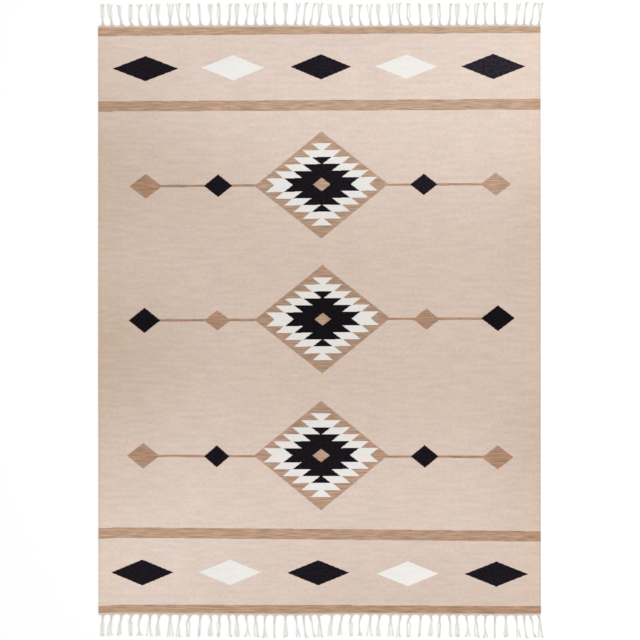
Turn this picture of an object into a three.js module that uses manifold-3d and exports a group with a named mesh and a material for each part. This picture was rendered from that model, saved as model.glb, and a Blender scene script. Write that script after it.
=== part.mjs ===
// A flatwoven cotton kilim rug with knotted warp fringes, lying flat on the floor.
// Millimetres. X runs across the rug, Y along it, Z is up, and the underside lies on Z = 0.

import * as THREE from "three";
import { mergeVertices } from "three/addons/utils/BufferGeometryUtils.js";
import Module from "manifold-3d";

const wasm = await Module();
wasm.setup();

// Driving dimensions of the woven cloth
const WOVEN_WIDTH = 1396;
const WOVEN_LENGTH = 1860;
const CLOTH_THICKNESS = 4;
const CLOTH_EDGE = { rounding: 1.2, segments: 2 };

// How uneven the hand-woven outline is
const END_SLANT = 0.7;
const END_WAVE = 1.1;
const END_RIPPLE = 0.5;
const SIDE_SLANT = { left: 0.6, right: -0.4 };
const SIDE_WAVE = 0.3;
const SIDE_WAVE_PERIOD = 1320;
const SIDE_WAVE_PHASE = { left: 2.1, right: 0.6 };

// Points along each end and each side of the cloth's outline
const STEPS_ACROSS = 26;
const STEPS_ALONG = 30;

// Driving dimensions of the pale end strip, and of a tassel's gather, knot and locks
const STRIP_WIDTH = 6;
const STRIP_THICKNESS = 2.6;
const PARTING = 0.3;
const GATHER = { length: 6, shoulder: 6, shoulderRise: 1.6 };
const NECK_WIDTH = 4.4;
const KNOT = { middle: 9.5, width: 6.6 };
const WAIST = { middle: 13.5, width: 4.6 };
const LOCK = { width: 2.6, height: 2.4, pitch: 3, rootDepth: 2, steps: 3 };
const LOCK_SHORTENING = [0, 1.3, 2.6];
const PALM_MARGIN = 0.4;

// The tassels of the left half of an end, from left to right. The right half repeats them without the
// first, because the last tassel of the left half stands in its place.
// gap is the distance from the tassel before, stem how far the yarns run together, reach the whole
// length, lean how far the tip stands right of the root, bow how far the middle swings right, and
// spread the distance between the outer locks at the tip.
const TASSELS = [
  { gap: 14.5, stem: 26, reach: 69, lean: 0, bow: 1, spread: 9, locks: 3 },
  { gap: 28, stem: 17, reach: 70, lean: -3, bow: 0, spread: 11, locks: 2 },
  { gap: 31, stem: 26, reach: 68, lean: -9, bow: 3, spread: 5, locks: 2 },
  { gap: 31, stem: 23, reach: 70, lean: -2, bow: -3, spread: 10, locks: 3 },
  { gap: 29, stem: 26, reach: 69, lean: 1, bow: -5, spread: 7, locks: 3 },
  { gap: 31, stem: 19, reach: 70, lean: -3, bow: 1, spread: 14, locks: 2 },
  { gap: 28, stem: 29, reach: 71, lean: -4, bow: 1, spread: 12, locks: 3 },
  { gap: 35, stem: 23, reach: 71, lean: 1, bow: -2, spread: 15, locks: 3 },
  { gap: 31, stem: 28, reach: 72, lean: -5, bow: -1, spread: 8, locks: 2 },
  { gap: 30, stem: 26, reach: 71, lean: -4, bow: -4, spread: 9, locks: 2 },
  { gap: 34, stem: 24, reach: 71, lean: -3, bow: 0, spread: 5, locks: 2 },
  { gap: 32, stem: 26, reach: 69, lean: -3, bow: 3, spread: 7, locks: 3 },
  { gap: 28, stem: 24, reach: 72, lean: 0, bow: 1, spread: 6, locks: 2 },
  { gap: 29, stem: 28, reach: 70, lean: 6, bow: 2, spread: 5, locks: 2 },
  { gap: 25, stem: 22, reach: 71, lean: 3, bow: 0, spread: 12, locks: 3 },
  { gap: 30, stem: 28, reach: 70, lean: 5, bow: 0, spread: 13, locks: 2 },
  { gap: 30, stem: 24, reach: 71, lean: 4, bow: 0, spread: 10, locks: 3 },
  { gap: 30, stem: 26, reach: 73, lean: 3, bow: -1, spread: 11, locks: 2 },
  { gap: 31, stem: 24, reach: 73, lean: 0, bow: 0, spread: 5, locks: 2 },
  { gap: 33, stem: 25, reach: 71, lean: 2, bow: 0, spread: 13, locks: 3 },
  { gap: 32, stem: 30, reach: 71, lean: 12, bow: 1, spread: 9, locks: 2 },
  { gap: 26, stem: 26, reach: 73, lean: 9, bow: -1, spread: 6, locks: 2 },
  { gap: 21, stem: 26, reach: 72, lean: 16, bow: -1, spread: 4, locks: 2 },
  { gap: 26, stem: 17, reach: 72, lean: 1, bow: -1, spread: 9, locks: 3 },
];
const HALVES = 2;
const LEAN_EASE = 1.4;
const BOW_PEAK = 4;

const flatweave = new THREE.MeshStandardMaterial({ color: 0xd6c3b2, roughness: 0.95, metalness: 0 });
const warpCotton = new THREE.MeshStandardMaterial({ color: 0xefece4, roughness: 0.9, metalness: 0 });

// Distance from the rug's middle to the outer edge of the pale strip. Each half of the width climbs
// slowly outwards and then drops back.
function endLine(x) {
  const turn = (2 * Math.PI * (x + WOVEN_WIDTH / 2)) / (WOVEN_WIDTH / HALVES);
  const slant = (END_SLANT * x) / (WOVEN_WIDTH / 2);
  return WOVEN_LENGTH / 2 + slant - END_WAVE * Math.sin(turn) - END_RIPPLE * Math.sin(2 * turn);
}

// Distance from the rug's middle to a selvedge. Both selvedges stray a little to one side along the rug.
function sideLine(y, side) {
  const slant = (SIDE_SLANT[side] * y) / (WOVEN_LENGTH / 2);
  const wave = SIDE_WAVE * Math.sin((2 * Math.PI * y) / SIDE_WAVE_PERIOD + SIDE_WAVE_PHASE[side]);
  return WOVEN_WIDTH / 2 + slant + wave;
}

// A point of the outline by its shares, -1 to 1, of the half width and half length. inset is how far
// the line lies inside the strip's outer edge.
function outlinePoint(across, along, inset) {
  const side = across < 0 ? "left" : "right";
  const x = across * sideLine((along * WOVEN_LENGTH) / 2, side);
  const y = along * (endLine((across * WOVEN_WIDTH) / 2) - inset);
  return new THREE.Vector2(x, y);
}

// Even shares from -1 to 1
function shares(steps) {
  return Array.from({ length: steps + 1 }, (unused, index) => (2 * index) / steps - 1);
}

// A closed mesh as a solid that can be joined to others
function solidOf(geometry) {
  geometry.deleteAttribute("normal");
  geometry.deleteAttribute("uv");
  const merged = mergeVertices(geometry);
  return new wasm.Manifold(
    new wasm.Mesh({
      numProp: 3,
      vertProperties: Float32Array.from(merged.attributes.position.array),
      triVerts: Uint32Array.from(merged.index.array),
    }),
  );
}

// A joined solid as a mesh
function geometryOf(solid) {
  const mesh = solid.getMesh();
  const geometry = new THREE.BufferGeometry();
  geometry.setAttribute("position", new THREE.BufferAttribute(mesh.vertProperties, 3));
  geometry.setIndex(new THREE.BufferAttribute(mesh.triVerts, 1));
  geometry.computeVertexNormals();
  return geometry;
}

// The woven cloth: one flat sheet whose rim is rounded where the wefts turn
function clothGeometry() {
  const inset = STRIP_WIDTH + PARTING;
  const rightwards = shares(STEPS_ACROSS).slice(0, -1);
  const upwards = shares(STEPS_ALONG).slice(0, -1);
  const outline = new THREE.Shape([
    ...rightwards.map((share) => outlinePoint(share, -1, inset)),
    ...upwards.map((share) => outlinePoint(1, share, inset)),
    ...rightwards.map((share) => outlinePoint(-share, 1, inset)),
    ...upwards.map((share) => outlinePoint(-1, -share, inset)),
  ]);
  const geometry = new THREE.ExtrudeGeometry(outline, {
    depth: CLOTH_THICKNESS - 2 * CLOTH_EDGE.rounding,
    steps: 1,
    bevelThickness: CLOTH_EDGE.rounding,
    bevelSize: CLOTH_EDGE.rounding,
    bevelOffset: -CLOTH_EDGE.rounding,
    bevelSegments: CLOTH_EDGE.segments,
  });
  geometry.translate(0, 0, CLOTH_EDGE.rounding);
  return geometry;
}

// Every tassel of an end with its root's place across the rug, but for the right half's first one
function tasselsOfAnEnd() {
  const placed = [];
  let root = -WOVEN_WIDTH / 2;
  for (let half = 0; half < HALVES; half += 1) {
    for (const tassel of TASSELS) {
      root += tassel.gap;
      placed.push({ ...tassel, root });
    }
  }
  placed.splice(TASSELS.length, 1);
  return placed;
}

// A point of a tassel: out beyond the strip's edge, and aside from the tassel's middle line
function tasselPoint(tassel, out, aside, end) {
  const share = out / tassel.reach;
  const lean = tassel.lean * share ** LEAN_EASE;
  const bow = BOW_PEAK * tassel.bow * share * (1 - share);
  return new THREE.Vector2(tassel.root + lean + bow + aside, end * (endLine(tassel.root) + out));
}

// Half the width of a tassel where its locks part
function palmHalf(tassel) {
  return ((tassel.locks - 1) * LOCK.pitch + LOCK.width) / 2 + PALM_MARGIN;
}

// The right half of a tassel's outline from the strip to where its locks part: the yarns are drawn in
// to a neck, swell over a knot, and open out from a waist to the palm
function tasselOutline(tassel) {
  return [
    { out: GATHER.shoulderRise, aside: GATHER.shoulder },
    { out: GATHER.length, aside: NECK_WIDTH / 2 },
    { out: KNOT.middle, aside: KNOT.width / 2 },
    { out: WAIST.middle, aside: WAIST.width / 2 },
    { out: tassel.stem, aside: palmHalf(tassel) },
  ];
}

// The pale strip, drawn in at each tassel to its neck and running on as the tassel's stem
function stripSolid(tassels, end) {
  const points = shares(STEPS_ACROSS).map((share) => outlinePoint(share, end, STRIP_WIDTH));
  points.push(outlinePoint(1, end, 0));
  const leftwards = [...tassels].reverse();
  leftwards.forEach((tassel, index) => {
    const next = leftwards[index + 1];
    const rightOutline = tasselOutline(tassel);
    points.push(...rightOutline.map(({ out, aside }) => tasselPoint(tassel, out, aside, end)));
    points.push(...rightOutline.reverse().map(({ out, aside }) => tasselPoint(tassel, out, -aside, end)));
    if (next) {
      const valley = (tassel.root + next.root) / 2;
      points.push(new THREE.Vector2(valley, end * endLine(valley)));
    }
  });
  points.push(outlinePoint(-1, end, 0));
  const outline = new THREE.Shape(points);
  return solidOf(new THREE.ExtrudeGeometry(outline, { depth: STRIP_THICKNESS, bevelEnabled: false }));
}

// A section drawn for a path that lies on the floor: its base stays down along the whole path
function flooredSection(corners) {
  return new THREE.Shape(corners.map(([aside, height]) => new THREE.Vector2(-height, aside)));
}

// A body of one section along a path over the floor
function alongFloor(section, points, steps) {
  const path = new THREE.CatmullRomCurve3(points.map((point) => new THREE.Vector3(point.x, point.y, 0)));
  return solidOf(new THREE.ExtrudeGeometry(section, { steps, extrudePath: path }));
}

// One lock of plied yarns: rooted in the stem, level on the floor, apart from its neighbours
function lockSolid(tassel, index, end) {
  const section = flooredSection([
    [-LOCK.width / 2, 0],
    [LOCK.width / 2, 0],
    [0, LOCK.height],
  ]);
  const place = index - (tassel.locks - 1) / 2;
  const rootAside = place * LOCK.pitch;
  const tipAside = (place * tassel.spread) / (tassel.locks - 1);
  const start = tassel.stem - LOCK.rootDepth;
  const stop = tassel.reach - LOCK_SHORTENING[(index + tassel.stem) % LOCK_SHORTENING.length];
  const points = [];
  for (let step = 0; step <= LOCK.steps; step += 1) {
    const share = step / LOCK.steps;
    const aside = rootAside + (tipAside - rootAside) * share;
    points.push(tasselPoint(tassel, start + (stop - start) * share, aside, end));
  }
  return alongFloor(section, points, LOCK.steps);
}

// The whole fringe of one end; end is 1 at the far end of the rug and -1 at the near end
function fringeGeometry(end) {
  const tassels = tasselsOfAnEnd();
  const solids = [stripSolid(tassels, end)];
  for (const tassel of tassels) {
    for (let index = 0; index < tassel.locks; index += 1) {
      solids.push(lockSolid(tassel, index, end));
    }
  }
  return geometryOf(wasm.Manifold.union(solids));
}

function named(name, geometry, material) {
  const mesh = new THREE.Mesh(geometry, material);
  mesh.name = name;
  return mesh;
}

const rug = new THREE.Group();
rug.add(
  named("rug_cloth", clothGeometry(), flatweave),
  named("fringe_top", fringeGeometry(1), warpCotton),
  named("fringe_bottom", fringeGeometry(-1), warpCotton),
);

export default rug;
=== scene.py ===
# A handwoven kilim rug, 1.4 by 2 metres, laid flat. Cotton flatweave with three serrated medallions
# lies between a band of undyed wefts and 47 knotted tassels at each end.
import math
import random
import bpy
import numpy as np
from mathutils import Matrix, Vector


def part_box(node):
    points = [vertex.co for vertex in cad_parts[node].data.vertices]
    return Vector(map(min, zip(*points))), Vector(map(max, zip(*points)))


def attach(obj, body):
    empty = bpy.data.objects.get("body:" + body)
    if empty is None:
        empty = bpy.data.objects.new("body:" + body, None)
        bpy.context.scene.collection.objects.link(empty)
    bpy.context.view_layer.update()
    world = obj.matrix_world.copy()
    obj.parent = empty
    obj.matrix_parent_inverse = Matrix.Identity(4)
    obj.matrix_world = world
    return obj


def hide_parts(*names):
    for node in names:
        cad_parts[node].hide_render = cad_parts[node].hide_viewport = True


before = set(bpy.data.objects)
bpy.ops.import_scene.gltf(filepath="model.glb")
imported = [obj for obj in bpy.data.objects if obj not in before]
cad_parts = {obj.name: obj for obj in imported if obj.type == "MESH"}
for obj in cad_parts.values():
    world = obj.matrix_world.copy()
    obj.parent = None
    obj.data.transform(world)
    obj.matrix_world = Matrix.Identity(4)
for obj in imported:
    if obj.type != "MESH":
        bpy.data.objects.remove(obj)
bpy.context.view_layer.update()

# The flatweave
# The rug is one piece of weft-faced cotton. Soft dyed wefts are beaten down over plied warps, so only
# ribs of little oval floats show. At each selvedge the wefts turn round a thicker pair of warps.

MM = 0.001
WOVEN_WIDTH = 1396
WOVEN_LENGTH = 1860
cloth_low, cloth_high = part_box("rug_cloth")
CLOTH_THICKNESS = (cloth_high.z - cloth_low.z) / MM

# How uneven the hand-woven outline is
END_SLANT = 0.7
END_WAVE = 1.1
END_RIPPLE = 0.5
SIDE_SLANT = {"left": 0.6, "right": -0.4}
SIDE_WAVE = 0.3
SIDE_WAVE_PERIOD = 1320
SIDE_PHASE = {"left": 2.1, "right": 0.6}

# The pale band of undyed wefts beyond the cloth, and the parting between them
BAND_WIDTH = 6
PARTING = 0.3

# One rib for each warp, three and a half millimetres apart, and a fatter one for the selvedge. A rib's
# face and back are given by their heights from one groove on, as shares of the relief, and the selvedge
# by how far its points lie in from the rim and below the crests.
SELVEDGE_RIB = 5.4
RIBS = 386
RIB_PITCH = (WOVEN_WIDTH - 2 * SELVEDGE_RIB) / RIBS
RIB_RELIEF = 0.45
FACE_RIB = (0, 0.72, 1, 0.72)
BACK_RIB = (0, 1)
RIM_INSET = (SELVEDGE_RIB, 4.1, 2.7, 1.4, 0.5)
RIM_DROP = (RIB_RELIEF, 0.12, 0, 0.25, 0.95)
WEFT_PITCH = 2.4
ROWS_ALONG = 33


def end_line(x):
    """Distance from the rug's middle to the outer edge of the pale band, at x across the rug."""
    turn = 4 * np.pi * (x / WOVEN_WIDTH + 0.5)
    slant = END_SLANT * x / (WOVEN_WIDTH / 2)
    return WOVEN_LENGTH / 2 + slant - END_WAVE * np.sin(turn) - END_RIPPLE * np.sin(2 * turn)


def side_line(y, side):
    """Distance from the rug's middle to a selvedge, at y along the rug."""
    slant = SIDE_SLANT[side] * y / (WOVEN_LENGTH / 2)
    wave = SIDE_WAVE * np.sin(2 * np.pi * y / SIDE_WAVE_PERIOD + SIDE_PHASE[side])
    return WOVEN_WIDTH / 2 + slant + wave


def section_half(heights):
    """Half a face of the cloth's section, from the middle out: x, and how far it is below the crests."""
    points_a_rib = len(heights)
    places = np.arange(RIBS // 2 * points_a_rib) / points_a_rib
    drop = RIB_RELIEF * (1 - np.array([heights[i % points_a_rib] for i in range(len(places))]))
    return places * RIB_PITCH, drop


def cloth_section():
    """The cloth's section once round, from the middle of the face clockwise: x and z of each point."""
    half = WOVEN_WIDTH / 2
    face_x, face_drop = section_half(FACE_RIB)
    back_x, back_drop = section_half(BACK_RIB)
    rim_x = half - np.array(RIM_INSET)
    rim_drop = np.array(RIM_DROP)
    tip_x = np.array([half])
    tip_z = np.array([CLOTH_THICKNESS / 2])
    right_x = np.concatenate([face_x, rim_x, tip_x, rim_x[::-1], back_x[::-1]])
    right_z = np.concatenate([
        CLOTH_THICKNESS - face_drop,
        CLOTH_THICKNESS - rim_drop,
        tip_z,
        rim_drop[::-1],
        back_drop[::-1],
    ])
    # The left half mirrors the right one, without the two points that both share on the middle line
    left = slice(len(right_x) - 2, 0, -1)
    return np.concatenate([right_x, -right_x[left]]), np.concatenate([right_z, right_z[left]])


def mesh_piece(name, points, faces, material):
    """One smooth-shaded mesh object of points in millimetres."""
    mesh = bpy.data.meshes.new(name)
    mesh.from_pydata((np.asarray(points) * MM).tolist(), [], faces)
    mesh.polygons.foreach_set("use_smooth", [True] * len(mesh.polygons))
    mesh.materials.append(material)
    piece = bpy.data.objects.new(name, mesh)
    bpy.context.collection.objects.link(piece)
    return piece


def cap_pieces(around):
    """The end of the section as one polygon for each rib, so that no face spans the whole rug."""
    ribs = RIBS // 2
    on_face = len(FACE_RIB)
    on_back = len(BACK_RIB)
    round_the_rim = 2 * len(RIM_INSET) + 1
    back_of_middle = (on_face + on_back) * ribs + round_the_rim - 1
    pieces = [
        [on_face * rib + step for step in range(on_face + 1)]
        + [back_of_middle - on_back * rib - step for step in range(on_back, -1, -1)]
        for rib in range(ribs)
    ]
    pieces.append([on_face * ribs + step for step in range(round_the_rim)])
    mirrored = [[(around - index) % around for index in reversed(piece)] for piece in pieces]
    return pieces + mirrored


def cloth_shape():
    """Points and faces of the closed cloth: its section swept along the rug, with a cap at each end."""
    section_x, section_z = cloth_section()
    rows = np.linspace(-1, 1, ROWS_ALONG) * WOVEN_LENGTH / 2
    right = side_line(rows, "right")[:, None]
    left = side_line(rows, "left")[:, None]
    x = section_x * np.where(section_x > 0, right, left) / (WOVEN_WIDTH / 2)
    y = rows[:, None] / (WOVEN_LENGTH / 2) * (end_line(section_x) - BAND_WIDTH - PARTING)
    z = np.broadcast_to(section_z, x.shape)
    points = np.stack([x, y, z], axis=-1).reshape(-1, 3)
    around = len(section_x)
    faces = []
    for row in range(len(rows) - 1):
        start = row * around
        for here in range(around):
            there = (here + 1) % around
            faces.append((start + here, start + there, start + around + there, start + around + here))
    last = (len(rows) - 1) * around
    for piece in cap_pieces(around):
        faces.append(tuple(reversed(piece)))
        faces.append(tuple(last + index for index in piece))
    return points, faces


def linear(hex_colour):
    """An sRGB hex colour as the linear red, green, blue and alpha that a shader takes."""
    shares = [int(hex_colour[i : i + 2], 16) / 255 for i in (1, 3, 5)]
    return (*(s / 12.92 if s <= 0.04045 else ((s + 0.055) / 1.055) ** 2.4 for s in shares), 1)


def add_node(material, kind, feeds=(), result=0, **settings):
    """Adds one shader node with its settings, feeds its inputs by place or name, and gives its result."""
    node = material.node_tree.nodes.new("ShaderNode" + kind)
    for setting, value in settings.items():
        setattr(node, setting, value)
    for place, value in feeds.items() if isinstance(feeds, dict) else enumerate(feeds):
        if isinstance(value, bpy.types.NodeSocket):
            material.node_tree.links.new(value, node.inputs[place])
        else:
            node.inputs[place].default_value = value
    return node.outputs[result] if node.outputs else node


def new_material(name):
    """A material with no nodes yet."""
    material = bpy.data.materials.new(name)
    material.use_nodes = True
    material.node_tree.nodes.clear()
    return material


# Dyed cotton in tapestry weave: each colour keeps to its own block of floats, so every slanted edge is
# a fine stair, and no two rows of yarn took the dye quite alike.
weave = new_material("dyed_cotton_tapestry_weave")
BEIGE = "#C9B6A8"
TAN_TOWARDS_OLIVE = "#A2886C"
TAN_TOWARDS_ROSE = "#B08C79"
WHITE = "#E5E2DE"
BLACK = "#120D13"

# Places in the weave, in millimetres, drifting a little as hand-beaten wefts do, then taken to whole ribs
# across and to half passes along, because the floats of two ribs lie half a pass apart
NOISE_MIDDLE = (0.5, 0.5, 0.5)
DRIFT_LENGTH = 150
DRIFT = (2.0, 1.5, 0)
object_place = add_node(weave, "TexCoord", result="Object")
place = add_node(weave, "VectorMath", {0: object_place, "Scale": 1 / MM}, operation="SCALE")
drift = add_node(
    weave, "TexNoise", {"Vector": place, "Scale": 1 / DRIFT_LENGTH, "Detail": 1.0}, result="Color"
)
drift = add_node(weave, "VectorMath", [drift, NOISE_MIDDLE], operation="SUBTRACT")
drifted = add_node(weave, "VectorMath", [drift, DRIFT, place], operation="MULTIPLY_ADD")
floats = add_node(weave, "VectorMath", [drifted, (RIB_PITCH, WEFT_PITCH / 2, 100)], operation="SNAP")
floats = add_node(weave, "VectorMath", [floats, (RIB_PITCH / 2, WEFT_PITCH / 4, 0)], operation="ADD")
floats = add_node(weave, "VectorMath", [floats, (1, 1, 0)], operation="MULTIPLY")
across = add_node(weave, "SeparateXYZ", [floats])
along = across.node.outputs["Y"]


def smooth_between(value, start, stop, before, after):
    """before up to start, after from stop on, and smooth between them."""
    feeds = [value, start, stop, before, after]
    return add_node(weave, "MapRange", feeds, interpolation_type="SMOOTHSTEP")


def one_plus(amount, shift):
    """A factor for each of red, green and blue: 1 plus some amount of a shift in colour."""
    return add_node(weave, "VectorMath", [amount, shift, (1, 1, 1)], operation="MULTIPLY_ADD")


def noise_over(length, height, detail=0.0, distortion=0.0, result="Fac"):
    """Cloudy noise over the floats, its clouds about this long across the rug and this high along it."""
    cell = add_node(weave, "VectorMath", [floats, (1 / length, 1 / height, 1)], operation="MULTIPLY")
    feeds = {"Vector": cell, "Scale": 1.0, "Detail": detail, "Distortion": distortion}
    return add_node(weave, "TexNoise", feeds, result=result)


# At the near end's left selvedge the wefts were beaten lower
SAG = 4.0
SAG_OUTER = -700
SAG_INNER = -625
sag = smooth_between(across, SAG_OUTER, SAG_INNER, SAG, 0.0)
near_half = add_node(weave, "Math", [along, 0.0], operation="LESS_THAN")
along = add_node(weave, "Math", [sag, near_half, along], operation="MULTIPLY_ADD")
share_across = add_node(weave, "Math", [across, WOVEN_WIDTH / 2], operation="DIVIDE")
share_along = add_node(weave, "Math", [along, WOVEN_LENGTH / 2], operation="DIVIDE")
drawn = {"tan": [], "deep tan": [], "medallion tan": [], "white": [], "black": [], "eye": [], "seam": []}


def woven_line(left, middle, right):
    """The height of a line across the rug through three heights, as wefts lie when beaten by hand."""
    bend = (left + right) / 2 - middle
    slope = add_node(weave, "Math", [share_across, bend, (right - left) / 2], operation="MULTIPLY_ADD")
    return add_node(weave, "Math", [share_across, slope, middle], operation="MULTIPLY_ADD")


# Tan stripes: one at each end of the cloth and one inside each row of big diamonds. The lower and the
# upper edge are given by their heights at the left selvedge, the middle and the right selvedge, measured
# on the photo.
BEYOND_THE_CLOTH = 960
STRIPES = [
    {"lower": (895, 902, 905), "upper": (BEYOND_THE_CLOTH,) * 3},
    {"lower": (658, 661, 664), "upper": (690, 694, 698)},
    {"lower": (-686, -692, -699), "upper": (-653, -659, -666)},
    {"lower": (-BEYOND_THE_CLOTH,) * 3, "upper": (-898, -899, -903)},
]
SEAM_HEIGHT = 3.2
for stripe in STRIPES:
    lower = woven_line(*stripe["lower"])
    upper = woven_line(*stripe["upper"])
    over = add_node(weave, "Math", [along, lower], operation="GREATER_THAN")
    under = add_node(weave, "Math", [along, upper], operation="LESS_THAN")
    drawn["tan"].append(add_node(weave, "Math", [over, under], operation="MULTIPLY"))
    for edge in (lower, upper):
        drawn["seam"].append(add_node(weave, "Math", [along, edge, SEAM_HEIGHT], operation="COMPARE"))

# A thin tan line through each row of small diamonds, from the left one to the right one, by its heights
# at the left selvedge, the middle and the right selvedge, measured on the photo
LINE_HALF_HEIGHT = 3.8
LINE_REACH = 540
LINES = [
    (421, 426, 429),
    (-2, 2, 6),
    (-428, -430, -432),
]
distance_across = add_node(weave, "Math", [across], operation="ABSOLUTE")
within = add_node(weave, "Math", [distance_across, LINE_REACH], operation="LESS_THAN")
for heights in LINES:
    height = woven_line(*heights)
    near = add_node(weave, "Math", [along, height, LINE_HALF_HEIGHT], operation="COMPARE")
    drawn["deep tan"].append(add_node(weave, "Math", [near, within], operation="MULTIPLY"))

# Plain diamonds, by their middles and half sizes. A search on the photo found these numbers, and they
# were then rounded.
DIAMONDS = [
    {"yarn": "black", "x": -549, "y": 793, "half_width": 104, "half_height": 40},
    {"yarn": "white", "x": -273, "y": 796, "half_width": 99, "half_height": 40},
    {"yarn": "black", "x": 4, "y": 799, "half_width": 96, "half_height": 40},
    {"yarn": "white", "x": 274, "y": 800, "half_width": 99, "half_height": 38},
    {"yarn": "black", "x": 548, "y": 800, "half_width": 102, "half_height": 40},
    {"yarn": "black", "x": -559, "y": -796, "half_width": 99, "half_height": 41},
    {"yarn": "white", "x": -282, "y": -796, "half_width": 98, "half_height": 40},
    {"yarn": "black", "x": -4, "y": -797, "half_width": 98, "half_height": 40},
    {"yarn": "white", "x": 278, "y": -800, "half_width": 97, "half_height": 39},
    {"yarn": "black", "x": 558, "y": -801, "half_width": 100, "half_height": 40},
    {"yarn": "deep tan", "x": -548, "y": 422, "half_width": 52, "half_height": 39},
    {"yarn": "black", "x": -320, "y": 424, "half_width": 45, "half_height": 36},
    {"yarn": "black", "x": 329, "y": 428, "half_width": 43, "half_height": 34},
    {"yarn": "tan", "x": 556, "y": 429, "half_width": 48, "half_height": 37},
    {"yarn": "black", "x": -552, "y": -1, "half_width": 50, "half_height": 40},
    {"yarn": "deep tan", "x": -322, "y": -1, "half_width": 42, "half_height": 32},
    {"yarn": "deep tan", "x": 337, "y": 3, "half_width": 42, "half_height": 34},
    {"yarn": "black", "x": 563, "y": 6, "half_width": 53, "half_height": 41},
    {"yarn": "deep tan", "x": -556, "y": -428, "half_width": 51, "half_height": 41},
    {"yarn": "black", "x": -324, "y": -430, "half_width": 40, "half_height": 35},
    {"yarn": "black", "x": 332, "y": -430, "half_width": 44, "half_height": 36},
    {"yarn": "deep tan", "x": 562, "y": -433, "half_width": 50, "half_height": 38},
]
for one in DIAMONDS:
    away = add_node(weave, "VectorMath", [floats, (one["x"], one["y"], 0)], operation="SUBTRACT")
    half_sizes = (one["half_width"], one["half_height"], 1)
    share = add_node(weave, "VectorMath", [away, half_sizes], operation="DIVIDE")
    share = add_node(weave, "VectorMath", [share], operation="ABSOLUTE")
    total = add_node(weave, "VectorMath", [share, (1, 1, 0)], operation="DOT_PRODUCT", result="Value")
    drawn[one["yarn"]].append(add_node(weave, "Math", [total, 1.0], operation="LESS_THAN"))

# Serrated medallions: a tan lozenge holds a white one and a black one that step in row by row, each row
# ending in a slanted tooth, and a tan eye. Rows are counted both ways from a middle line, which climbs a
# little to the right with the wefts. No two medallions came out quite the same size. The lozenge and the
# eye are given by how far right of and above the middle they sit, and their half sizes. A search on the
# photo found these numbers too, and they were then rounded.
MEDALLIONS = [
    {
        "x": 7, "y": 428, "climb": 0.016, "row_height": 21.6, "white_reach": 205, "white_step": 28.8,
        "medallion tan": (-1, -2, 211, 169), "eye": (0, 0, 27.5, 21.5),
    },
    {
        "x": 10, "y": 4, "climb": 0.012, "row_height": 21.7, "white_reach": 207, "white_step": 29.1,
        "medallion tan": (-1, -1, 214, 171), "eye": (0, -1, 26, 20),
    },
    {
        "x": 5, "y": -426, "climb": 0.003, "row_height": 22.0, "white_reach": 211, "white_step": 29.7,
        "medallion tan": (0, -1, 212, 173), "eye": (0, -1, 27, 21),
    },
]
WHITE_TOOTH = 26.4
WHITE_ROWS = 6.07
BLACK_REACH = 149
BLACK_STEP = 29.4
BLACK_TOOTH = 28.2
BLACK_ROWS = 4.0
for middle in MEDALLIONS:
    away = add_node(weave, "VectorMath", [floats, (middle["x"], middle["y"], 0)], operation="SUBTRACT")
    aside, above = (
        add_node(weave, "VectorMath", [away, direction], operation="DOT_PRODUCT", result="Value")
        for direction in ((1, 0, 0), (-middle["climb"], 1, 0))
    )
    for yarn in ("medallion tan", "eye"):
        right_of, over, half_width, half_height = middle[yarn]
        beside = add_node(weave, "Math", [aside, right_of], operation="SUBTRACT")
        beside = add_node(weave, "Math", [beside], operation="ABSOLUTE")
        total = add_node(weave, "Math", [above, over], operation="SUBTRACT")
        total = add_node(weave, "Math", [total], operation="ABSOLUTE")
        total = add_node(weave, "Math", [total, half_height], operation="DIVIDE")
        total = add_node(weave, "Math", [beside, 1 / half_width, total], operation="MULTIPLY_ADD")
        drawn[yarn].append(add_node(weave, "Math", [total, 1.0], operation="LESS_THAN"))
    aside = add_node(weave, "Math", [aside], operation="ABSOLUTE")
    above = add_node(weave, "Math", [above], operation="ABSOLUTE")
    row = add_node(weave, "Math", [above, middle["row_height"]], operation="DIVIDE")
    whole_row = add_node(weave, "Math", [row], operation="CEIL")
    whole_row = add_node(weave, "Math", [whole_row, 1.0], operation="MAXIMUM")
    toothed = {
        "white": (middle["white_reach"], middle["white_step"], WHITE_TOOTH, WHITE_ROWS),
        "black": (BLACK_REACH, BLACK_STEP, BLACK_TOOTH, BLACK_ROWS),
    }
    for yarn, (reach, step, tooth, rows) in toothed.items():
        edge = add_node(weave, "Math", [whole_row, -step - tooth, reach], operation="MULTIPLY_ADD")
        edge = add_node(weave, "Math", [row, tooth, edge], operation="MULTIPLY_ADD")
        inside = add_node(weave, "Math", [aside, edge], operation="LESS_THAN")
        in_rows = add_node(weave, "Math", [row, rows], operation="LESS_THAN")
        drawn[yarn].append(add_node(weave, "Math", [inside, in_rows], operation="MULTIPLY"))


def any_of(shapes):
    """1 where any of the shapes is."""
    whole = shapes[0]
    for shape in shapes[1:]:
        whole = add_node(weave, "Math", [whole, shape], operation="MAXIMUM")
    return whole


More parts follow.
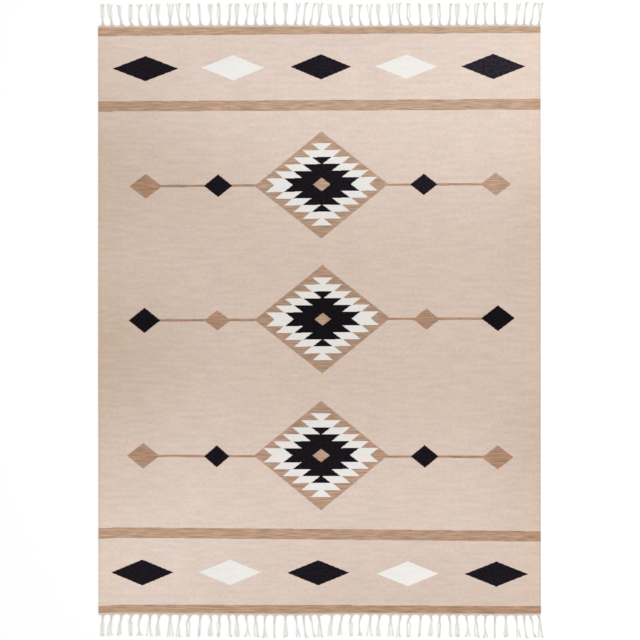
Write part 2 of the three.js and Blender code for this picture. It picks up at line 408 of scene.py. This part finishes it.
# Abrash and painted shade: beige and tan drift in tone, partly because no two baths of dye match and
# partly as painted shade of uneven light. Both ends of the rug are paler than its middle, along its sides
# soft patches are deeper and warmer, and the far end is the palest.
# The patches are round numbers, but they started from a fit to the photo's tone. A negative depth is
# paler.
PALER_ENDS = 0.2
PALER_FROM = 0.15
PALEST_FROM = 0.8
TWIST = 0.08
PALER_TO_THE_RIGHT = -0.01
PATCHES = [
    {"x": -700, "y": 520, "half_width": 500, "half_height": 400, "depth": 0.17},
    {"x": -300, "y": 450, "half_width": 300, "half_height": 300, "depth": 0.05},
    {"x": -700, "y": -100, "half_width": 450, "half_height": 350, "depth": 0.14},
    {"x": -700, "y": -500, "half_width": 300, "half_height": 400, "depth": 0.08},
    {"x": -750, "y": -950, "half_width": 300, "half_height": 250, "depth": 0.08},
    {"x": 200, "y": -1000, "half_width": 1150, "half_height": 600, "depth": 0.12},
    {"x": 750, "y": -450, "half_width": 300, "half_height": 400, "depth": 0.13},
    {"x": 750, "y": 350, "half_width": 300, "half_height": 600, "depth": 0.07},
    {"x": 150, "y": 930, "half_width": 250, "half_height": 150, "depth": 0.05},
    {"x": -600, "y": 930, "half_width": 500, "half_height": 110, "depth": -0.05},
]
from_middle = add_node(weave, "Math", [share_along], operation="ABSOLUTE")
tone = smooth_between(from_middle, PALER_FROM, PALEST_FROM, 0.0, PALER_ENDS)
twist = add_node(weave, "Math", [share_along, TWIST, PALER_TO_THE_RIGHT], operation="MULTIPLY_ADD")
tone = add_node(weave, "Math", [share_across, twist, tone], operation="MULTIPLY_ADD")
for patch in PATCHES:
    away = add_node(weave, "VectorMath", [floats, (patch["x"], patch["y"], 0)], operation="SUBTRACT")
    half_sizes = (patch["half_width"], patch["half_height"], 1)
    share = add_node(weave, "VectorMath", [away, half_sizes], operation="DIVIDE")
    share = add_node(weave, "VectorMath", [share], operation="LENGTH", result="Value")
    deeper = smooth_between(share, 0.0, 1.0, patch["depth"], 0.0)
    tone = add_node(weave, "Math", [tone, deeper], operation="SUBTRACT")

# Pale wefts lose more blue than red as they deepen
PALER_SHIFT = (0.84, 1.0, 1.25)
tone = one_plus(tone, PALER_SHIFT)
beige = add_node(weave, "VectorMath", [tone, linear(BEIGE)[:3]], operation="MULTIPLY")

# The tan wefts run from olive to rose in streaks, like yarn carded from two bales, and each bath of tan
# came out a little paler than the one before
BATH_SHIFT = (0.5, 1.0, 1.3)
SEAM_SHADE = 0.93
streak = noise_over(38, 4.2, detail=1.0)
streak = add_node(weave, "MapRange", [streak, 0.3, 0.7, 0.0, 1.0])
tan = add_node(
    weave,
    "Mix",
    {0: streak, 6: linear(TAN_TOWARDS_OLIVE), 7: linear(TAN_TOWARDS_ROSE)},
    result=2,
    data_type="RGBA",
)
tan = add_node(weave, "VectorMath", [tone, tan], operation="MULTIPLY")
bath = add_node(weave, "Math", [share_across, 0.02, 0.042], operation="MULTIPLY_ADD")
bath = add_node(weave, "Math", [bath, share_along], operation="MULTIPLY")
bath = one_plus(bath, BATH_SHIFT)
tan = add_node(weave, "VectorMath", [bath, tan], operation="MULTIPLY")
dash = noise_over(50, 3.4, distortion=0.3)
dash = add_node(weave, "MapRange", [dash, 0.25, 0.75, 0.78, 1.22])
seam = add_node(weave, "MapRange", [any_of(drawn["seam"]), 0.0, 1.0, 1.0, SEAM_SHADE])
dash = add_node(weave, "Math", [dash, seam], operation="MULTIPLY")
tan = add_node(weave, "VectorMath", {0: tan, "Scale": dash}, operation="SCALE")

# The thin lines and most small diamonds took a deeper tan, and so did the medallions, the middle one
# most, while their eyes came out a little paler. Each is a share of the stripes' red, green and blue, and
# the middle medallion's is a share of the other two's.
DEEP_TAN = (0.91, 0.86, 0.835)
MEDALLION_TAN = (0.96, 0.97, 0.99)
MIDDLE_MEDALLION = 0.955
EYE_TAN = (1.03, 1.04, 1.09)
deep_tan = add_node(weave, "VectorMath", [tan, DEEP_TAN], operation="MULTIPLY")
medallion_tan = add_node(weave, "VectorMath", [tan, MEDALLION_TAN], operation="MULTIPLY")
deeper = add_node(weave, "MapRange", [from_middle, 0.1, 0.4, MIDDLE_MEDALLION, 1.0])
medallion_tan = add_node(weave, "VectorMath", {0: medallion_tan, "Scale": deeper}, operation="SCALE")
eye_tan = add_node(weave, "VectorMath", [tan, EYE_TAN], operation="MULTIPLY")

# The white yarn is whitest in the diamonds at the ends
WHITENESS_IN_THE_MIDDLE = 0.88
whiteness = smooth_between(from_middle, 0.2, 0.85, WHITENESS_IN_THE_MIDDLE, 1.0)
white = add_node(weave, "VectorMath", {0: linear(WHITE)[:3], "Scale": whiteness}, operation="SCALE")

# The black yarn has faded most at the far right corner, to slate, and least in the middle, and a little
# unevenly
FADING_IN_THE_MIDDLE = 0.55
FADING_AT_THE_ENDS = 1.3
FADED_CORNER = (600, 850, 0)
CORNER_REACH = 820
CORNER_FADING = 2.3
TOWARDS_SLATE = (-0.05, 0.06, 0.015)
fading = add_node(weave, "MapRange", [from_middle, 0.0, 0.85, FADING_IN_THE_MIDDLE, FADING_AT_THE_ENDS])
from_corner = add_node(weave, "VectorMath", [floats, FADED_CORNER], operation="DISTANCE", result="Value")
corner_fading = smooth_between(from_corner, 0, CORNER_REACH, CORNER_FADING, 0.0)
fading = add_node(weave, "Math", [fading, corner_fading], operation="ADD")
faded_fibres = noise_over(9, 6, detail=1.0)
faded_fibres = add_node(weave, "MapRange", [faded_fibres, 0.3, 0.7, 0.4, 1.6])
fading = add_node(weave, "Math", [fading, faded_fibres], operation="MULTIPLY")
black = add_node(weave, "VectorMath", {0: linear(BLACK)[:3], "Scale": fading}, operation="SCALE")
slate = one_plus(corner_fading, TOWARDS_SLATE)
black = add_node(weave, "VectorMath", [black, slate], operation="MULTIPLY")

yarns = {
    "tan": tan,
    "deep tan": deep_tan,
    "medallion tan": medallion_tan,
    "white": white,
    "black": black,
    "eye": eye_tan,
}
blocks = {yarn: any_of(drawn[yarn]) for yarn in yarns}
coloured = beige
for yarn, colour in yarns.items():
    coloured = add_node(
        weave, "Mix", {0: blocks[yarn], 6: coloured, 7: colour}, result=2, data_type="RGBA"
    )

# Each weft keeps its own shade for a hand's breadth, and slubs in the yarn make short light and dark
# dashes. Real slubs are a float or two long: they are drawn longer here, so that they show from a step
# away.
SHADES = [
    {"length": 70, "height": 12, "strength": 0.14, "detail": 0.0},
    {"length": 10, "height": 10, "strength": 0.17, "detail": 1.0},
    {"length": 17, "height": 3.3, "strength": 0.09, "detail": 0.0},
    {"length": 120, "height": 100, "strength": 0.06, "detail": 2.0},
]
shade = 1.0
for layer in SHADES:
    cloud = noise_over(layer["length"], layer["height"], layer["detail"])
    cloud = add_node(weave, "Math", [cloud, 0.5], operation="SUBTRACT")
    shade = add_node(weave, "Math", [cloud, layer["strength"], shade], operation="MULTIPLY_ADD")

# The bleached white is more even than the dyed yarns
WHITE_UNEVENNESS = 0.4
bleached = add_node(weave, "Math", [blocks["white"], blocks["black"]], operation="SUBTRACT")
unevenness = add_node(weave, "MapRange", [bleached, 0.0, 1.0, 1.0, WHITE_UNEVENNESS])
shade = add_node(weave, "Math", [shade, 1.0], operation="SUBTRACT")
shade = add_node(weave, "Math", [shade, unevenness, 1.0], operation="MULTIPLY_ADD")

# The tint wanders too, a little towards rose and back
TINT = (0.08, 0.05, 0.09)
tint = noise_over(45, 18, detail=1.0, result="Color")
tint = add_node(weave, "VectorMath", [tint, NOISE_MIDDLE], operation="SUBTRACT")
tint = one_plus(tint, TINT)

# Towards both sides the dye is warmer. Along the selvedge, where every weft turns back on its underside,
# a greyer, darker band is painted shade of the rounded edge, and its very edge gets a paler painted
# highlight, palest on the left.
WARMER = (0.015, -0.01, -0.055)
EDGE_PAINTED_HIGHLIGHT = (0.25, 0.2, 0.18)
EDGE_HIGHLIGHT_ON_THE_RIGHT = 0.4
SELVEDGE_PAINTED_SHADE = (-0.12, -0.07, -0.03)
warmer = add_node(weave, "MapRange", [distance_across, 600.0, 690.0, 0.0, 1.0])
warmer = one_plus(warmer, WARMER)
painted_edge_highlight_and_warmth = add_node(weave, "MapRange", [distance_across, 695.0, 697.0, 0.0, 1.0])
less_on_the_right = add_node(weave, "MapRange", [across, -1.0, 1.0, 1.0, EDGE_HIGHLIGHT_ON_THE_RIGHT])
painted_edge_highlight_and_warmth = add_node(weave, "Math", [painted_edge_highlight_and_warmth, less_on_the_right], operation="MULTIPLY")
painted_edge_highlight_and_warmth = add_node(weave, "VectorMath", [painted_edge_highlight_and_warmth, EDGE_PAINTED_HIGHLIGHT, warmer], operation="MULTIPLY_ADD")
selvedge = add_node(weave, "MapRange", [distance_across, 690.0, 694.0, 0.0, 1.0])
warmth_and_painted_edge_light = add_node(weave, "VectorMath", [selvedge, SELVEDGE_PAINTED_SHADE, painted_edge_highlight_and_warmth], operation="MULTIPLY_ADD")
shaded = add_node(weave, "VectorMath", {0: coloured, "Scale": shade}, operation="SCALE")
shaded = add_node(weave, "VectorMath", [shaded, warmth_and_painted_edge_light], operation="MULTIPLY")
shaded = add_node(weave, "VectorMath", [shaded, tint], operation="MULTIPLY")

# Relief of the floats: a pillow for each pass of the weft over a warp, half a pass up on every other rib
column = add_node(weave, "SeparateXYZ", [place])
rib = add_node(weave, "Math", [column, RIB_PITCH], operation="DIVIDE")
other_rib = add_node(weave, "Math", [rib], operation="FLOOR")
half_pass = add_node(weave, "Math", [other_rib, 0.5], operation="MULTIPLY")
weft = add_node(weave, "Math", [column.node.outputs["Y"], WEFT_PITCH], operation="DIVIDE")
weft = add_node(weave, "Math", [weft, half_pass], operation="ADD")
relief = 1.0
for count in (rib, weft):
    turn = add_node(weave, "Math", [count, math.pi], operation="MULTIPLY")
    hump = add_node(weave, "Math", [turn], operation="SINE")
    hump = add_node(weave, "Math", [hump], operation="ABSOLUTE")
    relief = add_node(weave, "Math", [relief, hump], operation="MULTIPLY")
FLOAT_RELIEF = 0.5
bump = add_node(weave, "Bump", {"Strength": 0.5, "Distance": FLOAT_RELIEF * MM, "Height": relief})

surface = add_node(
    weave,
    "BsdfPrincipled",
    {
        "Base Color": shaded,
        "Roughness": 0.92,
        "Specular IOR Level": 0.1,
        "Sheen Weight": 0.04,
        "Sheen Roughness": 0.5,
        "Normal": bump,
    },
)
add_node(weave, "OutputMaterial", [surface])

flatweave = mesh_piece("kilim_flatweave", *cloth_shape(), weave)
# The cut ends keep their corners, so that the face stays evenly lit right up to them
CORNER = math.radians(60)
flatweave.data.set_sharp_from_angle(angle=CORNER)
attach(flatweave, "root")
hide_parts("rug_cloth")

# The pale bands and the fringe
# At each end the weaver finishes with a few passes of undyed yarn, which hold the coloured wefts in. The
# warps run on through them, eight at a time are knotted close to the edge, and lie loose in two or three
# locks. Some locks fan out like a brush, and others curl up at the tip where the plies let go.

YARN_RADIUS = 0.68
YARN_STEP = 2.2
YARN_TWIST = math.radians(34)
PLY_LOBES = (1.12, 0.84)
YARN_REACH = YARN_RADIUS * PLY_LOBES[0]
WARPS_A_TASSEL = 8
BAND_WEFTS = 4
BAND_WEFT_PITCH = 1.42
BAND_WEFT_RADIUS = 0.66
WARP_HEIGHT = CLOTH_THICKNESS / 2
KNOT_OUT = 8.5
KNOT_HALF_WIDTH = 2.3
KNOT_SLANT = 2.8
KNOT_WAVER = 0.5
LOOSELY_TWISTED = 1.2
FLATTENED = 0.75

# Where an undyed weft turns back: how far it reaches past the last warp, and at what share of the pitch
BAND_TURN = ((1.6, 0.15), (2.1, 0.5), (1.6, 0.85))

# One row for each tassel: its distance from the tassel before, its length and how far the end of its stem
# stands right of the root. Then for each lock the number of yarns, how far it stands right of the root a
# third of the way, two thirds of the way and at the tip, how many degrees its tip turns to the right, and
# how loosely its yarns lie side by side (0 where they are twisted together). They were read from
# enlargements of the photo.
TASSELS = [
    (14.5, 69, 0, [(3, -4, -5, -5, 0, 1.9), (2, 0, -1, -1, 90, 1.9), (3, 2, 2, 3, -450, 0.8)]),
    (28, 70, -1, [(3, -7, -11, -12, 0, 0.8), (2, -2, -5, -5, 0, 1.3), (3, 0, -1, 2, 40, 0.2)]),
    (31, 68, -1, [(4, -4, -6, -9, -500, 0), (2, -7, -10, -11, 0, 1.8), (2, -2, -2, -1, 0, 1.0)]),
    (31, 70, -4, [(4, -6, -6, -5, 110, 0), (4, 1, 1, 2, -110, 0)]),
    (29, 69, -3, [(3, -5, -5, -7, -300, 0), (5, -5, -4, 1, 450, 0)]),
    (31, 70, -1, [(4, -5, -8, -12, 0, 0.3), (4, -1, 0, 3, 260, 0)]),
    (28, 71, -2, [(3, -5, -8, -9, 0, 1.4), (2, -3, -4, -4, 0, 1.0), (3, -2, 0, 2, 60, 0.6)]),
    (35, 71, 0, [(3, -4, -6, -9, 0, 0), (2, -1, -2, -1, 0, 1.5), (3, 3, 6, 8, 0, 1.0)]),
    (31, 72, -2, [(3, -5, -10, -12, 0, 0.4), (5, -4, -3, -3, 510, 0)]),
    (30, 71, -5, [(4, -9, -8, -9, 260, 0), (4, 1, 0, -1, 0, 0.3)]),
    (34, 71, -1, [(5, -1, -1, -3, -500, 0), (3, -2, -5, -6, 0, 1.2)]),
    (32, 69, 3, [(3, -1, -6, -7, 300, 0.4), (2, 0, -2, -1, 0, 1.6), (3, 2, 3, 4, 0, 1.8)]),
    (28, 72, -1, [(3, -6, -6, -5, 60, 0.4), (5, 2, 1, -1, -500, 0)]),
    (29, 70, 3, [(7, 4, 5, 5, 510, 0), (1, 2, 0, -5, 0, 0)]),
    (25, 71, 1, [(3, -2, -4, -3, 110, 0.9), (2, 2, 2, 2, 0, 1.6), (3, 5, 7, 7, -260, 0.6)]),
    (30, 70, 2, [(4, 4, 4, -1, -330, 0), (4, 4, 8, 12, 90, 0.2)]),
    (30, 71, 0, [(3, -2, -4, -1, 0, 1.2), (5, 4, 6, 7, 260, 0)]),
    (30, 73, -1, [(5, -1, -2, -3, -300, 0), (3, -1, 1, 8, 40, 0)]),
    (31, 73, -1, [(8, -1, -1, -1, 25, 0)]),
    (33, 71, 1, [(3, -2, -4, -5, 260, 0.4), (2, 1, 0, 1, 0, 1.4), (3, 3, 5, 7, -120, 0.9)]),
    (32, 71, 3, [(4, 4, 4, 4, 0, 0.5), (4, 5, 9, 15, 40, 0)]),
    (26, 73, 1, [(5, 2, 4, 9, 380, 0), (3, 1, 3, 6, 0, 0)]),
    (21, 72, 4, [(4, 6, 8, 17, 120, 0), (4, 6, 8, 13, 260, 0)]),
    (26, 72, 3, [(3, 1, 0, 0, 0, 1.0), (5, 5, 8, 10, 400, 0)]),
]
HALVES = 2
LOCKS_PART_AT = 17
A_THIRD_OF_THE_WAY = 28
TWO_THIRDS_OF_THE_WAY = 47
LOOSE_CURL = 4.5
TIGHT_CURL = 2.5
TIGHT_FROM = 120
CURL_FROM = 5
CURL_CLOSES = 0.55

# A loose lock that turns less than this fans out, and its yarns end more unevenly than a curled one's
FANNED_UNDER = 100
RAGGED_TIPS = 3.5
EVEN_TIPS = 1


def tassel_roots():
    """Every tassel of an end with its root's place across the rug. The right half repeats the left one
    without the first tassel, because the last one of the left half stands in its place."""
    root = -WOVEN_WIDTH / 2
    placed = []
    for tassel in TASSELS * HALVES:
        root += tassel[0]
        placed.append((root, tassel))
    placed.pop(len(TASSELS))
    return placed


def warp_places(roots):
    """Where the warps leave the cloth: each tassel gathers eight from halfway to its neighbours."""
    middles = [(here + there) / 2 for (here, _), (there, _) in zip(roots, roots[1:])]
    borders = [-WOVEN_WIDTH / 2, *middles, WOVEN_WIDTH / 2]
    return [
        [low + (high - low) * (warp + 0.5) / WARPS_A_TASSEL for warp in range(WARPS_A_TASSEL)]
        for low, high in zip(borders, borders[1:])
    ]


def eased(value, start, stop):
    """0 before start, 1 after stop, and smooth between."""
    share = np.clip((value - start) / (stop - start), 0, 1)
    return share * share * (3 - 2 * share)


def smooth_through(places, values, at):
    """The heights of a smooth curve through some points, at many places."""
    places = np.array(places, dtype=float)
    values = np.array(values, dtype=float)
    slopes = np.gradient(values, places)
    span = np.clip(np.searchsorted(places, at) - 1, 0, len(places) - 2)
    width = places[span + 1] - places[span]
    share = (at - places[span]) / width
    rise = share * share * (3 - 2 * share)
    leaving = share * (1 - share) ** 2 * width * slopes[span]
    arriving = share * share * (share - 1) * width * slopes[span + 1]
    return values[span] + rise * (values[span + 1] - values[span]) + leaving + arriving


def round_bundle(yarns, yarn, out):
    """How far one of several yarns twisted together lies beside and above their middle."""
    reach = LOOSELY_TWISTED * YARN_RADIUS * math.sqrt(yarns) if yarns > 1 else 0
    angle = yarn * 2 * math.pi / yarns + out / 9
    return reach * np.cos(angle), reach * FLATTENED * np.sin(angle), reach * FLATTENED


def yarn_route(root, tassel, warp, warp_x, end, chance):
    """One warp from inside the cloth's end, through band, knot and stem, to the tip of its lock."""
    _, reach, stem_x, locks = tassel
    first = 0
    for yarns, third_x, two_thirds_x, tip_x, turn, looseness in locks:
        if warp < first + yarns:
            break
        first += yarns
    among = warp - first - (yarns - 1) / 2
    curl = math.radians(turn * chance.uniform(0.9, 1.1))
    curl_radius = TIGHT_CURL if abs(turn) > TIGHT_FROM else LOOSE_CURL
    turned_off = curl_radius * math.sin(min(abs(curl), math.pi / 2))
    fans_out = looseness and abs(turn) < FANNED_UNDER
    ragged = chance.uniform(0, RAGGED_TIPS if fans_out else EVEN_TIPS)
    stop = reach - ragged - turned_off
    start = -(BAND_WIDTH + PARTING + 1)
    out = np.linspace(start, stop, int((stop - start) / YARN_STEP) + 1)

    # In the knot and the stem all the yarns lie round each other; beyond it each lock has its own few
    stem_aside, stem_rise, stem_reach = round_bundle(WARPS_A_TASSEL, warp, out)
    lock_aside, lock_rise, lock_reach = round_bundle(yarns, warp - first, out)
    if looseness:
        fanned = looseness * eased(out, LOCKS_PART_AT, A_THIRD_OF_THE_WAY + 8)
        lock_aside = among * (1.2 * YARN_RADIUS + fanned)
        lock_rise = lock_rise * 0.5
    parted = eased(out, LOCKS_PART_AT - 5, LOCKS_PART_AT + 9)
    aside = stem_aside * (1 - parted) + lock_aside * parted
    rise = (stem_rise + stem_reach) * (1 - parted) + (lock_rise + lock_reach) * parted
    middle = smooth_through(
        [start, 0, KNOT_OUT, LOCKS_PART_AT, A_THIRD_OF_THE_WAY, TWO_THIRDS_OF_THE_WAY, reach],
        [0, 0, 0, stem_x, third_x, two_thirds_x, tip_x],
        out,
    )
    wander = 0.25 * np.sin(out / chance.uniform(4, 8) + chance.uniform(0, 6)) * np.clip(out / reach, 0, 1)

    # Before the knot the warp comes from its own place in the cloth
    gathered = eased(out, -2, KNOT_OUT - 3.5)
    x = warp_x * (1 - gathered) + (root + middle + aside + wander) * gathered
    y = end_line(np.where(out < 0, warp_x, root)) + out
    z = WARP_HEIGHT * (1 - gathered) + (YARN_REACH + rise) * gathered
    route = np.stack([x, y, z], axis=1)

    # The tip turns on along a closing curl, and climbs over itself where it meets its own yarn
    if abs(turn) > CURL_FROM:
        steps = max(3, int(abs(curl) * curl_radius / 2))
        share = np.arange(1, steps + 1) / steps
        heading = math.atan2(route[-1, 0] - route[-2, 0], route[-1, 1] - route[-2, 1])
        turned = heading + curl * share
        stride = abs(curl) * curl_radius * (1 - CURL_CLOSES * share) / steps
        curled = np.stack([
            route[-1, 0] + np.cumsum(np.sin(turned) * stride),
            route[-1, 1] + np.cumsum(np.cos(turned) * stride),
            route[-1, 2] + abs(curl) / 4 * eased(share, 0.3, 1.0),
        ], axis=1)
        route = np.concatenate([route, curled])
    return route * (1, end, 1)


def knot_route(root, tassel, end):
    """The yarn that goes twice round a tassel's bundle, a little aslant."""
    angle = np.linspace(0, 4 * math.pi, 25)
    out = KNOT_OUT - KNOT_SLANT / 2 + KNOT_SLANT * angle / angle[-1] + KNOT_WAVER * np.cos(angle)
    _, _, bundle_reach = round_bundle(WARPS_A_TASSEL, 0, 0)
    x = root + KNOT_HALF_WIDTH * np.sin(angle)
    z = np.maximum(YARN_REACH + bundle_reach + KNOT_HALF_WIDTH * np.cos(angle), YARN_REACH)
    return np.stack([x, end * (end_line(root) + out), z], axis=1)


def band_route(warps, end):
    """One undyed weft passing back and forth across the rug, over one warp and under the next."""
    points = []
    rise = 0.62 * (YARN_RADIUS + BAND_WEFT_RADIUS)
    for row in range(BAND_WEFTS):
        out = -BAND_WIDTH + BAND_WEFT_PITCH * (row + 0.5)
        way = 1 if row % 2 == 0 else -1
        ordered = warps[::way]
        for index, x in enumerate(ordered):
            points.append((x, out, WARP_HEIGHT + rise * (-1) ** (index + row)))
            if index < len(ordered) - 1:
                points.append(((x + ordered[index + 1]) / 2, out, WARP_HEIGHT))
        if row < BAND_WEFTS - 1:
            for further, share in BAND_TURN:
                points.append((ordered[-1] + way * further, out + BAND_WEFT_PITCH * share, WARP_HEIGHT))
    points = np.array(points)
    points[:, 1] = end * (end_line(points[:, 0]) + points[:, 1])
    return points


def tube(route, radius, level):
    """A plied yarn along a route, as six sides whose lobes wind round it like plies. level is a direction
    that the route never takes, and keeps the section from turning over."""
    tangent = np.gradient(route, axis=0)
    tangent /= np.linalg.norm(tangent, axis=1)[:, None]
    side = np.cross(tangent, level)
    side /= np.linalg.norm(side, axis=1)[:, None]
    up = np.cross(side, tangent)
    count = len(route)
    angle = np.arange(6)[None, :] * math.pi / 3 + np.arange(count)[:, None] * YARN_TWIST
    reach = radius * np.array(PLY_LOBES * 3)
    beside = (reach * np.cos(angle))[..., None] * side[:, None, :]
    above = (reach * np.sin(angle))[..., None] * up[:, None, :]
    faces = [
        (6 * i + k, 6 * i + 6 + k, 6 * i + 6 + (k + 1) % 6, 6 * i + (k + 1) % 6)
        for i in range(count - 1)
        for k in range(6)
    ]
    faces.append(tuple(range(6)))
    faces.append(tuple(6 * count - 1 - k for k in range(6)))
    return (route[:, None, :] + beside + above).reshape(-1, 3), faces


def joined(parts):
    """Several meshes as one."""
    faces = []
    start = 0
    for part_points, part_faces in parts:
        faces.extend(tuple(start + index for index in face) for face in part_faces)
        start += len(part_points)
    return np.concatenate([part_points for part_points, _ in parts]), faces


# Undyed cotton plied from three strands: ivory, dull and fibrous. It is creamier where it binds the
# cloth. Near the knots it is darker, as painted shade of the tight bundles, and it grows paler towards
# the tips. The very tips are a shade darker again, as painted shade of the curled and bunched tips.
warp_yarn = new_material("undyed_plied_cotton")
CREAM_AT_THE_CLOTH = "#EDDAC3"
PAINTED_SHADE_AT_THE_KNOTS = "#E7E3D9"
IVORY = "#FCFAF3"
TIP_PAINTED_SHADE = 0.93

# Where along the rug the yarn's colour changes: past the band, past the knots and at the tips
BEYOND_THE_BAND = (924, 934)
BEYOND_THE_KNOTS = (940, 965)
AT_THE_TIPS = (983, 993)
yarn_place = add_node(warp_yarn, "TexCoord", result="Object")
yarn_place = add_node(warp_yarn, "VectorMath", {0: yarn_place, "Scale": 1 / MM}, operation="SCALE")
fibres = add_node(warp_yarn, "VectorMath", [yarn_place, (1 / 0.9, 1 / 4, 1 / 0.9)], operation="MULTIPLY")
fibres = add_node(warp_yarn, "TexNoise", {"Vector": fibres, "Scale": 1.0, "Detail": 3.0}, result="Fac")
out_of_cloth = add_node(warp_yarn, "SeparateXYZ", [yarn_place])
out_of_cloth = add_node(warp_yarn, "Math", [out_of_cloth.node.outputs["Y"]], operation="ABSOLUTE")
past_the_band = add_node(warp_yarn, "MapRange", [out_of_cloth, *BEYOND_THE_BAND, 0.0, 1.0])
past_the_knots = add_node(warp_yarn, "MapRange", [out_of_cloth, *BEYOND_THE_KNOTS, 0.0, 1.0])
yarn_colour = add_node(
    warp_yarn,
    "Mix",
    {0: past_the_band, 6: linear(CREAM_AT_THE_CLOTH), 7: linear(PAINTED_SHADE_AT_THE_KNOTS)},
    result=2,
    data_type="RGBA",
)
yarn_colour = add_node(
    warp_yarn, "Mix", {0: past_the_knots, 6: yarn_colour, 7: linear(IVORY)}, result=2, data_type="RGBA"
)
# The tips darken a little: painted shade of the curls and bunched ends
painted_tip_darkening = add_node(warp_yarn, "MapRange", [out_of_cloth, *AT_THE_TIPS, 1.0, TIP_PAINTED_SHADE])
fibre_tone_with_painted_tip_shade = add_node(warp_yarn, "MapRange", [fibres, 0.3, 0.7, 0.94, 1.0])
fibre_tone_with_painted_tip_shade = add_node(warp_yarn, "Math", [fibre_tone_with_painted_tip_shade, painted_tip_darkening], operation="MULTIPLY")
yarn_colour = add_node(warp_yarn, "VectorMath", {0: yarn_colour, "Scale": fibre_tone_with_painted_tip_shade}, operation="SCALE")
fibre_relief = add_node(warp_yarn, "Bump", {"Strength": 0.3, "Distance": 0.2 * MM, "Height": fibres})
yarn_surface = add_node(
    warp_yarn,
    "BsdfPrincipled",
    {
        "Base Color": yarn_colour,
        "Roughness": 0.95,
        "Specular IOR Level": 0.15,
        "Sheen Weight": 0.1,
        "Sheen Roughness": 0.5,
        "Normal": fibre_relief,
    },
)
add_node(warp_yarn, "OutputMaterial", [yarn_surface])

upright = np.array([0.0, 0.0, 1.0])
lengthwise = np.array([0.0, 1.0, 0.0])
roots = tassel_roots()
warps = warp_places(roots)
every_warp = [x for warps_of_one in warps for x in warps_of_one]
SEED = 7
for side, end in (("top", 1), ("bottom", -1)):
    chance = random.Random(SEED)
    yarns = [
        tube(yarn_route(root, tassel, warp, warps[index][warp], end, chance), YARN_RADIUS, upright)
        for index, (root, tassel) in enumerate(roots)
        for warp in range(WARPS_A_TASSEL)
    ]
    knots = [tube(knot_route(root, tassel, end), YARN_RADIUS, lengthwise) for root, tassel in roots]
    band = [tube(band_route(every_warp, end), BAND_WEFT_RADIUS, upright)]
    for name, parts in (("warp_fringe", yarns), ("tassel_knots", knots), ("undyed_band", band)):
        piece = mesh_piece(f"{name}_{side}", *joined(parts), warp_yarn)
        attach(piece, "root")
        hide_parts(f"fringe_{side}")

# The floor, the light and the camera
# A plain pale floor, an even white sky and one broad lamp stand for a photographer's studio. The camera
# looks straight down, as in the photograph, and its lens shows the real width of the frame.

FLOOR_SIZE = 30
floor_paint = new_material("matt_white_floor_paint")
FLOOR_WHITE = "#F8F8F8"
FLOOR_DULL = "#F6F6F6"
floor_place = add_node(floor_paint, "TexCoord", result="Object")
floor_cloud = add_node(floor_paint, "TexNoise", {"Vector": floor_place, "Scale": 1.5}, result="Fac")
floor_colour = add_node(
    floor_paint,
    "Mix",
    {0: floor_cloud, 6: linear(FLOOR_WHITE), 7: linear(FLOOR_DULL)},
    result=2,
    data_type="RGBA",
)
floor_surface = add_node(floor_paint, "BsdfPrincipled", {"Base Color": floor_colour, "Roughness": 0.7})
add_node(floor_paint, "OutputMaterial", [floor_surface])
edge = FLOOR_SIZE / 2 / MM
floor_corners = [(-edge, -edge, 0), (edge, -edge, 0), (edge, edge, 0), (-edge, edge, 0)]
floor = mesh_piece("studio_floor", floor_corners, [(0, 1, 2, 3)], floor_paint)

world = bpy.data.worlds.new("white_studio")
bpy.context.scene.world = world
world.use_nodes = True
SKY_LIGHT = 0.82
world.node_tree.nodes["Background"].inputs["Color"].default_value = (1, 1, 1, 1)
world.node_tree.nodes["Background"].inputs["Strength"].default_value = SKY_LIGHT

LAMP_WIDTH = 3
LAMP_WATTS = 110
LAMP_PLACE = (2.0, 0.3, 5.0)
lamp_data = bpy.data.lights.new("broad_lamp", "AREA")
lamp_data.size = LAMP_WIDTH
lamp_data.energy = LAMP_WATTS
lamp = bpy.data.objects.new("broad_lamp", lamp_data)
lamp.location = LAMP_PLACE
lamp.rotation_euler = (-lamp.location).to_track_quat("-Z", "Y").to_euler()
bpy.context.collection.objects.link(lamp)

MM_A_PIXEL = 3.154
FRAME_PIXELS = 640
FRAME_RIGHT_OF_RUG = 1.5
FRAME_ABOVE_RUG = 0.3
SENSOR_WIDTH = 36
LENS = 85
CLIP_END = 50
camera_data = bpy.data.cameras.new("overhead_camera")
camera_data.sensor_width = SENSOR_WIDTH
camera_data.lens = LENS
camera = bpy.data.objects.new("overhead_camera", camera_data)
frame_width = FRAME_PIXELS * MM_A_PIXEL * MM
camera_height = frame_width * camera_data.lens / camera_data.sensor_width + CLOTH_THICKNESS * MM
camera.location = (FRAME_RIGHT_OF_RUG * MM, FRAME_ABOVE_RUG * MM, camera_height)
camera_data.clip_end = CLIP_END
bpy.context.collection.objects.link(camera)
bpy.context.scene.camera = camera
bpy.context.scene.view_settings.view_transform = "Standard"
